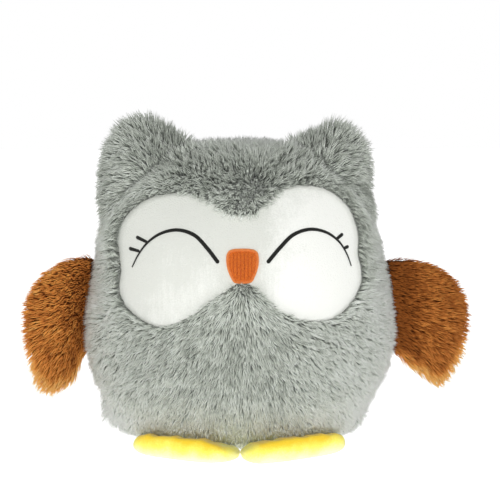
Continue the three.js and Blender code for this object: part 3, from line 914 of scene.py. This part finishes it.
black_thread = thread_finish("black_thread", thread_colour, thread_highlight)
for side_name, sideways in (("left", 1), ("right", -1)):
    place_on_face = np.array([sideways * face_half_width, face_half_height])
    lid = np.array(lid_line_shares)
    lid[:, 0] += lid_arch[side_name] * np.sin(np.linspace(0, np.pi, len(lid)))
    strokes = [(lid, lid_widths, lid_steps)]
    strokes += [(lash, lash_widths, lash_steps) for lash in lash_shares[side_name]]
    eye_middle = face_centre + eye_shifts[side_name]
    eye_grids = [
        satin_stroke(eye_middle + place_on_face * shares, widths, eye_thread_height, steps)
        for shares, widths, steps in strokes
    ]
    eye = joined(f"eye_{side_name}_stitches", eye_grids, black_thread)
    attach(eye, "owl_body")
    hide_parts(f"eye_{side_name}")

# Beak: orange satin stitch on the face patch, between its cheeks: a shield of upright columns of slanting
# stitches inside a raised border.

beak_half_width = 12.2
beak_half_height = 12
beak_middle = face_middle - 4
beak_border_width = 1.9
beak_columns = 9
beak_stitch = 1.3
beak_border_height, beak_border_steps = 1.5, 1400
beak_outline_steps, beak_rings = 360, 80
beak_lift, beak_column_lift, beak_ridge_lift, beak_edge_lift = 0.2, 0.8, 0.5, 0.4
beak_slant = 0.9
beak_colour = (156, 62, 0)
# painted highlights of the orange thread
beak_highlight_colour = (236, 128, 34)
border_colour = (204, 104, 34)
# painted highlights of the border's thread
border_highlight_colour = (250, 166, 90)
beak_half_shares = [
    # across and up, from the lower left corner up to the upper left one; the other half mirrors them
    (0.52, -1.04), (0.66, -0.84), (0.83, -0.5), (0.95, -0.12), (1, 0.3), (0.92, 0.8), (0.68, 0.97),
]


def beak():
    """The filling is rings of its outline. Its height falls in a groove beside each column, and
    slanting ridges cross the columns, leaning the other way in every second one. The border is a band
    round it."""
    centre = np.array([0, beak_middle])
    outline = np.concatenate([beak_half_shares, np.array(beak_half_shares[::-1]) * (-1, 1)])
    outline = np.roll(outline, 1, axis=0) * (beak_half_width, beak_half_height)
    outline = rounded(outline, beak_outline_steps, closed=True)
    inside = outline * (1 - beak_border_width / 2 / np.hypot(*outline.T))[:, None]
    share = np.linspace(0, 1, beak_rings)[:, None, None]
    flat = centre + share * inside
    column = flat[..., 0] / (2 * beak_half_width / beak_columns) + 0.5 * beak_columns
    within = column - np.floor(column) - 0.5
    slant = np.where(np.mod(np.floor(column), 2) < 1, 1, -1)
    bulge = smooth(np.abs(within), 0.5, 0.28)
    ridges = 0.5 + 0.5 * np.cos(2 * np.pi * (flat[..., 1] / beak_stitch + beak_slant * slant * within))
    dip = smooth(share[..., 0], 0.8, 0.88)
    rise = beak_lift + (beak_column_lift + beak_ridge_lift * ridges) * bulge
    rise = rise * (1 - dip) + beak_edge_lift * dip
    over = on_patch(flat[..., 0], flat[..., 1], rise)
    under = on_patch(flat[..., 0], flat[..., 1], -eye_thread_sink + 0 * rise)
    filling = np.concatenate([over, under[::-1]])
    line = centre + inside[::12]
    border = satin_stroke(line, [beak_border_width], beak_border_height, beak_border_steps, closed=True)
    piece = joined("beak_stitches", [filling], orange_thread)
    border_thread = thread_finish("border_thread", border_colour, border_highlight_colour)
    edge = joined("beak_border", [border], border_thread, wrapped_rows=True)
    for stitched in (piece, edge):
        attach(stitched, "owl_body")
    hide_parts("beak")


orange_thread = thread_finish("orange_thread", beak_colour, beak_highlight_colour)
beak()

# Ears: two grey plush panels each, sewn round their edge, stuffed and sewn into the curve of the head.
# Their pile is long and stands out all round the tip.

sewn_parts = ("front_panel", "back_panel", "stuffing")
ear_half_thickness = 27
ear_pile_depth = 7
ear_forward = 5
ear_pile_spacing = 1.2
ear_pile_length, ear_tip_extra = 10, 2
ear_lean, ear_tip_lift = (18, 74), 24
ear_mess = 0.9
# painted shade on the front of each ear, deeper on its inner half and low down by the crease
ear_painted_shades = {"front": 0.18, "inner half": 0.14, "low": 0.3}
pad_steps, ear_outline_steps = 40, 120
ear_forms = {
    # across and up to its middle, half width, half height and how far it leans out, for each ear
    "left": (68.5, 208.5, 36.5, 45.5, 5),
    "right": (73, 210.5, 39.5, 48.5, -4),
}
ear_outline_shares = [
    # across and up, anticlockwise from the tip; the last ones are inside the head
    (0.13, 1), (-0.22, 0.91), (-0.6, 0.72), (-1.1, 0.5), (-1, 0.1), (-0.5, -0.55), (0.2, -0.95),
    (0.78, -0.85), (0.99, -0.4), (1, -0.05), (0.96, 0.25), (0.83, 0.57), (0.54, 0.86),
]


def pad(outline, middle, above, below, taper, rings, fullness=2, bluntness=1, floor=-np.inf):
    """A stuffed pad as a closed grid in its own frame, with its seam at zero height. Rows run from the
    middle of the top out to the seam and back to the middle underneath. A place's height is the
    middle's, less by a power of its share of the way out, and thinned towards a sewn root. The blunter
    it is, the rounder is its edge."""
    share = 1 - np.linspace(1, 0, rings) ** bluntness
    share = np.concatenate([share, share[-2::-1]])[:, None]
    height = np.where(np.arange(len(share)) < rings, above, -below)[:, None]
    flat = middle + share[..., None] * (outline - middle)
    rise = height * (1 - share**fullness) ** (1 / bluntness) * taper(flat)
    return np.concatenate([flat, np.maximum(rise, floor)[..., None]], axis=-1)


def shrunk(outline, middle, by, size):
    """An outline drawn in towards a middle by a distance in each direction."""
    return middle + (outline - middle) * (1 - by / np.asarray(size, float))


def inside_body(places, margin):
    """Whether places lie further than a margin inside the body's outer form."""
    x, y, z = places.T
    order = body_profile[body_profile[:, 2] > 0.5]
    width, depth = (np.interp(z, order[:, 2], order[:, column]) for column in (0, 1))
    depth = depth * np.where(y < 0, 1, back_depth / belly_depth) - margin
    width = width - margin
    near = (x / np.maximum(width, 1)) ** 2 + (y / np.maximum(depth, 1)) ** 2 < 1
    return near & (z < body_height - margin)


def ear(side_name, sideways, seed):
    """The ear's cloth and its pile, which stands up at the tip and falls outwards and down below it."""
    middle_across, middle_up, half_width, half_height, turn = ear_forms[side_name]
    size = (half_width, half_height)
    outline = rounded(np.array(ear_outline_shares) * size, ear_outline_steps, closed=True)
    outline = shrunk(outline, 0, ear_pile_depth - 1, size)
    thickness = ear_half_thickness - ear_pile_depth

    def taper(flat):
        return np.ones(flat.shape[:-1])

    local = pad(outline, np.zeros(2), thickness, thickness, taper, pad_steps)
    normals = grid_normals(local, True, 0)
    lean = np.radians(turn)
    across = np.array([np.cos(lean) * sideways, 0, -np.sin(lean)])
    up = np.array([np.sin(lean) * sideways, 0, np.cos(lean)])
    axes = np.stack([across, up, [0, -1, 0]])
    origin = np.array([middle_across * sideways, -ear_forward, middle_up])
    grid = origin + local @ axes
    normals = normals @ axes
    cloth = joined(f"ear_{side_name}_cloth", [grid], backing)
    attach(cloth, "owl_body")
    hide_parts(*(f"ear_{side_name}_{part}" for part in sewn_parts))
    rng = np.random.default_rng(seed)
    roots, outwards = scatter(grid, normals, True, ear_pile_spacing, rng)
    shown = ~inside_body(roots, pile_depth)
    roots, outwards = roots[shown], outwards[shown]
    share = (roots - origin) @ axes.T / (half_width, half_height, thickness)
    tip = smooth(share[:, 1], 0.3, 0.8)
    outer = smooth(share[:, 0], 0.3, 0.9) * (1 - tip)
    flow = (0.8 + 1.6 * share[:, :1]) * across + (0.2 + 1.4 * share[:, 1] - outer)[:, None] * up
    length = ear_pile_length + ear_tip_extra * tip
    lean = (ear_lean[0], ear_lean[1] - ear_tip_lift * tip)
    line, shade = strands(roots, outwards, flow, length, lean, rng, ear_mess)
    # painted shade on the ear's front, deeper on the inner half and low down, where the ear hollows and
    # meets the crease
    facing = smooth(-outwards[:, 1], -0.2, 0.6)
    darker = ear_painted_shades["inner half"] * smooth(-share[:, 0], -0.3, 0.4)
    darker = darker + ear_painted_shades["low"] * smooth(-share[:, 1], 0.1, 0.7)
    shade = shade - facing * (ear_painted_shades["front"] + darker)
    piece = pile_piece(f"ear_{side_name}_pile", grey_pile, line, outwards, shade)
    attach(piece, "owl_body")


ear("left", 1, 51)
ear("right", -1, 52)

# Wings: two brown plush panels each, sewn round their edge and lightly stuffed. The flat root is caught
# in the side seam, so a wing swings about it. The pile lies outwards and falls, paler where it hangs
# over the edge, from its own paler tips and from painted light through them. Painted light also lifts
# the rim, and painted shade darkens the root and one wing more than the other.

wing_reaches = {"left": 60.5, "right": 57}
wing_rise = 110
wing_half_thickness = 12.5
wing_pile_depth = 7
wing_root_flat = 22
wing_middle_shares = (0.5, 0.36)
wing_root_thinning = 0.3
wing_loft = 2
wing_outline_steps = 160
wing_pile_spacing, wing_pile_start = 1.15, -4
wing_pile_length, wing_fringe_extra = 10, 2
wing_lean, wing_edge_lift, wing_hanging_lift = (28, 82), 24, 4
wing_fall, wing_low_fall = 0.12, 1.2
wing_mess, wing_high_calm, wing_gather = 0.5, 0.2, 0.08
# how much paler the hanging fringe is, from its own paler tips and from painted light through them, and
# painted light on the rim of the edge
wing_fringe_pale_and_painted_light, wing_edge_painted_light = 1.05, 0.1
wing_swing = {"left": 0, "right": 38}
# painted shade on the owl's left wing and a little painted light on its right one, where light falls
# unevenly on the two
wing_painted_side_shades = {"left": -0.19, "right": 0.03}
# painted shade at each wing's root, beside the body
wing_root_painted_shades = {"left": 0.62, "right": 0.37}
wing_outline_shares = {
    # out from the seam and up from its lower end, anticlockwise from that end; the last ones are in the
    # body
    "left": [
        (0.16, -0.09), (0.4, -0.2), (0.6, -0.272), (0.75, -0.18), (0.9, -0.03), (1, 0.15),
        (1.01, 0.34), (0.93, 0.51), (0.76, 0.64), (0.53, 0.72), (0.26, 0.765), (0, 0.78),
    ],
    "right": [
        (0.13, -0.155), (0.38, -0.24), (0.59, -0.24), (0.73, -0.17), (0.86, -0.02),
        (0.965, 0.16), (1, 0.36), (0.95, 0.54), (0.79, 0.665), (0.53, 0.76), (0.26, 0.81),
        (0, 0.82),
    ],
}
wing_root_shares = [(-0.15, 0.78), (-0.17, 0.5), (-0.17, 0.25), (-0.14, 0.03), (0, 0)]
brown_colours = [(80, 36, 8), (156, 86, 30), (214, 132, 60), (248, 172, 84), (255, 220, 138)]
brown_backing_colour = (128, 74, 30)
brown_groove_colour = (96, 52, 18)


def wing(side_name, sideways, seed):
    """The wing's cloth and pile in the frame of its hinge: out from the seam, up along it and to the
    front."""
    hinge = hinges[f"wing_{side_name}_flap"]
    origin = np.array(hinge["pos_m"]) * METRE
    swing = np.radians(wing_swing[side_name])
    up = -np.array(hinge["axis"]) * sideways
    level, forward = np.cross([0, 1, 0], up) * sideways, np.array([0, -1, 0])
    out = level * np.cos(swing) + forward * np.sin(swing)
    axes = np.stack([out, up, forward * np.cos(swing) - level * np.sin(swing)])
    size = np.array([wing_reaches[side_name], wing_rise])
    middle = np.array(wing_middle_shares) * size
    outline = np.array(wing_outline_shares[side_name] + wing_root_shares) * size
    outline = rounded(outline, wing_outline_steps, closed=True)
    outline = shrunk(outline, (0, middle[1]), wing_pile_depth, size / (1, 2))
    thickness = wing_half_thickness - wing_pile_depth + wing_loft

    def taper(flat):
        past_root = smooth(flat[..., 0], -0.25 * wing_root_flat, wing_root_flat)
        return wing_root_thinning + (1 - wing_root_thinning) * past_root

    local = pad(outline, middle, thickness, thickness, taper, pad_steps)
    normals = grid_normals(local, True, (*middle, 0))
    grid, normals = origin + local @ axes, normals @ axes
    cloth = joined(f"wing_{side_name}_cloth", [grid], brown_backing)
    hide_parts(*(f"wing_{side_name}_{part}" for part in sewn_parts))
    rng = np.random.default_rng(seed)
    roots, outwards = scatter(grid, normals, True, wing_pile_spacing, rng)
    place = (roots - origin) @ axes.T
    shown = place[:, 0] > wing_pile_start
    roots, outwards, place = roots[shown], outwards[shown], place[shown]
    low = smooth(place[:, 1], 52, -18)
    flow = out - up * (wing_fall + wing_low_fall * low**1.5)[:, None]
    hanging = smooth(place[:, 1], 12, -18)
    root = smooth(place[:, 0], 26, 0)
    high = smooth(place[:, 1], 40, 75)
    edge = smooth(outline_reach(outline, middle, place[:, 0], place[:, 1]), 0.75, 1.0)
    fringe = edge * smooth(place[:, 1], 24, -6)
    length = wing_pile_length + wing_fringe_extra * fringe - high - root
    lean = (wing_lean[0] + wing_edge_lift * edge, wing_lean[1] - wing_hanging_lift * hanging)
    mess = wing_mess - wing_high_calm * high
    line, shade = strands(roots, outwards, flow, length, lean, rng, mess, wing_gather)
    # the fringe is paler from its own tips and from painted light through them
    shade = shade + wing_painted_side_shades[side_name] * (1 - fringe) + wing_fringe_pale_and_painted_light * fringe
    # painted light on the wing's rim
    shade = shade + wing_edge_painted_light * edge
    # painted shade at the root beside the body
    shade = shade - wing_root_painted_shades[side_name] * root
    pile = pile_piece(f"wing_{side_name}_pile", brown_pile, line, outwards, shade)
    for piece in (cloth, pile):
        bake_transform(piece)


brown_pile = pile_finish("brown_pile", brown_colours, 0.0)
brown_backing = backing_finish("brown_backing_knit", brown_backing_colour, brown_groove_colour)
wing("left", 1, 61)
wing("right", -1, 62)

# Feet: two flat pads of short yellow pile, sewn into the front edge of the base, so they lie on the
# table and can tip up. Their soles are flat.

foot_half_width = 44
foot_length = 20
foot_top_height = 12.5
foot_seam_height = 5
foot_sole_depth = 6.5
foot_fullness = 7
foot_bluntness = 2
foot_root_flat = 20
foot_root_thinning = 0.6
foot_middle_share = 0.4
foot_floor_gap = 0.2
foot_steps, foot_outline_steps = 60, 160
# how much the clouds and nap tone the foot, how strongly painted shade on top and painted light below
# change it with height, and its overall tone
foot_clouds, foot_nap, foot_painted_light_by_height, foot_tone = 0.8, 0.3, -56.0, 0.52
foot_pucker = 0.07
foot_pucker_pitches = (23, 11)
foot_shift = {"left": -4, "right": 0}
foot_inner_drops = {"left": 0.1, "right": 0.35}
yellow_colour = (255, 246, 104)
# deeper gold where painted shade falls on top, under the body's pile
yellow_shadow_colour = (250, 212, 40)
# pale yellow of painted light towards the table
yellow_painted_light_colour = (255, 254, 204)
foot_outline_shares = [
    # along the seam and forward, anticlockwise seen from above; the last ones are under the pile of the
    # body
    (-0.98, -0.1), (-1.03, 0.2), (-1.05, 0.6), (-0.95, 0.92), (-0.5, 1.02), (0.15, 0.95),
    (0.55, 0.84), (0.84, 0.62), (0.93, 0.25), (0.86, -0.1), (0.5, -0.24), (0, -0.26),
    (-0.5, -0.22),
]


def yellow_finish():
    """Short yellow pile with a fine nap and soft clouds. Painted shade makes it golden on top, under the
    body's pile, and painted light makes it paler towards the table.
    """
    material, shader, place = fabric("yellow_velboa", 0.9, 0.3, "TexCoord", "Object")
    clouds = grain(place, 60.0, 3.0)
    nap = grain(place, 900.0, 4.0)
    height = coordinate(place, "Z")
    # painted shade on top and painted light towards the table, by height
    tone = clouds * foot_clouds + nap * foot_nap + height * foot_painted_light_by_height + foot_tone
    stops = [(0.2, yellow_shadow_colour), (0.5, yellow_colour), (0.95, yellow_painted_light_colour)]
    finish_with(shader, ramp(tone, stops), nap, 0.0005)
    return material


def foot(side_name, sideways):
    """The foot's cloth in the frame of its hinge: along the seam, then back, then up. Two waves along
    the seam pucker its top."""
    hinge = hinges[f"foot_{side_name}_tip"]
    origin = np.array(hinge["pos_m"]) * METRE
    along = -np.array(hinge["axis"])
    size = np.array([foot_half_width, foot_length])
    outline = np.array(foot_outline_shares) * size * (sideways, -1)
    outline = rounded(outline, foot_outline_steps, closed=True)
    back = np.cross([0, 0, 1], along)

    def taper(flat):
        inner = smooth(-sideways * flat[..., 0], 0.3 * foot_half_width, foot_half_width)
        root = smooth(-flat[..., 1], -0.25 * foot_root_flat, foot_root_flat)
        thin = foot_root_thinning + (1 - foot_root_thinning) * root
        return thin * (1 - foot_inner_drops[side_name] * inner)

    middle = np.array([0, -foot_middle_share * foot_length])
    edge = (foot_steps, foot_fullness, foot_bluntness, foot_floor_gap - foot_seam_height)
    local = pad(outline, middle, foot_top_height, foot_sole_depth, taper, *edge)
    local[..., 0] += foot_shift[side_name]
    turn = 2 * np.pi * local[..., 0]
    long_wave, short_wave = (np.sin(turn / pitch + sideways + pitch) for pitch in foot_pucker_pitches)
    wave = (long_wave + 0.7 * short_wave) * smooth(foot_length + local[..., 1], 0, 0.7 * foot_length)
    local[..., 2] *= 1 + foot_pucker * wave * (local[..., 2] > 0)
    axes = np.stack([along, back, [0, 0, 1]])
    grid = origin + local @ axes
    cloth = joined(f"foot_{side_name}_velboa", [grid], yellow_velboa)
    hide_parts(*(f"foot_{side_name}_{part}" for part in ("top_panel", "sole_panel", "padding")))
    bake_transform(cloth)


yellow_velboa = yellow_finish()
foot("left", 1)
foot("right", -1)

# Table, light and camera: a white sweep under soft studio light from all round, a little stronger from
# the owl's left. Only the camera's own rays see the sweep as white.

floor_size = 6
camera_azimuth, camera_elevation, camera_distance = -2, 9, 1.0
camera_target = Vector((0.008, 0, 0.151))
camera_half_view = 0.2
lamps = {
    # where each lamp stands, how wide it is and its power
    "key": ((0.05, -1.4, 0.75), 1.0, 7),
    "fill": ((-1.2, -0.9, 0.7), 1.2, 2.5),
    "low_front": ((0.1, -1.4, 0.25), 1.0, 3.4),
}
lamp_target = (0, 0, 0.12)
paper_glow, paper_glow_seen = 0.62, 0.18
room_light, room_light_seen = 0.46, 0.54


def strength(tree, light, seen_light, socket):
    """Sets how strongly something shines, and how much more of it the camera's own rays see."""
    path = tree.nodes.new("ShaderNodeLightPath")
    shine = light + Socket(tree, path.outputs["Is Camera Ray"]) * seen_light
    tree.links.new(shine.output, socket)


def placed(name, data, place, back):
    """Puts a lamp or a lens at a place, with its back turned a given way."""
    holder = bpy.data.objects.new(name, data)
    holder.location = place
    holder.rotation_euler = back.to_track_quat("Z", "Y").to_euler()
    bpy.context.scene.collection.objects.link(holder)
    return holder


def floor():
    """A wide flat sheet. Its shadow shows, and a share of its own light lifts the rest to white."""
    bpy.ops.mesh.primitive_plane_add(size=floor_size)
    sheet = bpy.context.object
    sheet.name = "floor"
    material = bpy.data.materials.new("white_paper")
    material.use_nodes = True
    shader = material.node_tree.nodes["Principled BSDF"]
    shader.inputs["Base Color"].default_value = (0.9, 0.9, 0.9, 1)
    shader.inputs["Roughness"].default_value = 0.9
    shader.inputs["Emission Color"].default_value = (1, 1, 1, 1)
    glow = shader.inputs["Emission Strength"]
    strength(material.node_tree, paper_glow, paper_glow_seen, glow)
    sheet.data.materials.append(material)


def softbox(name, place, size, power):
    """A square lamp aimed at the middle of the owl."""
    lamp = bpy.data.lights.new(name, "AREA")
    lamp.size = size
    lamp.energy = power
    placed(name, lamp, place, Vector(place) - Vector(lamp_target))


def surroundings():
    """An even white room: dimmer as a light than as the background that the camera sees."""
    world = bpy.data.worlds.new("studio")
    bpy.context.scene.world = world
    world.use_nodes = True
    walls = world.node_tree.nodes["Background"]
    walls.inputs["Color"].default_value = (1, 1, 1, 1)
    strength(world.node_tree, room_light, room_light_seen, walls.inputs["Strength"])


def camera():
    """The photograph's view: level with the head and a little to the owl's right."""
    azimuth, elevation = np.radians([camera_azimuth, camera_elevation])
    level = np.cos(elevation)
    back = Vector((np.sin(azimuth) * level, -np.cos(azimuth) * level, np.sin(elevation)))
    lens = bpy.data.cameras.new("camera")
    lens.angle = 2 * np.arctan(camera_half_view)
    place = camera_target + back * camera_distance
    bpy.context.scene.camera = placed("camera", lens, place, back)


floor()
surroundings()
for name, (place, size, power) in lamps.items():
    softbox(name, place, size, power)
camera()
bpy.context.scene.view_settings.view_transform = "Standard"
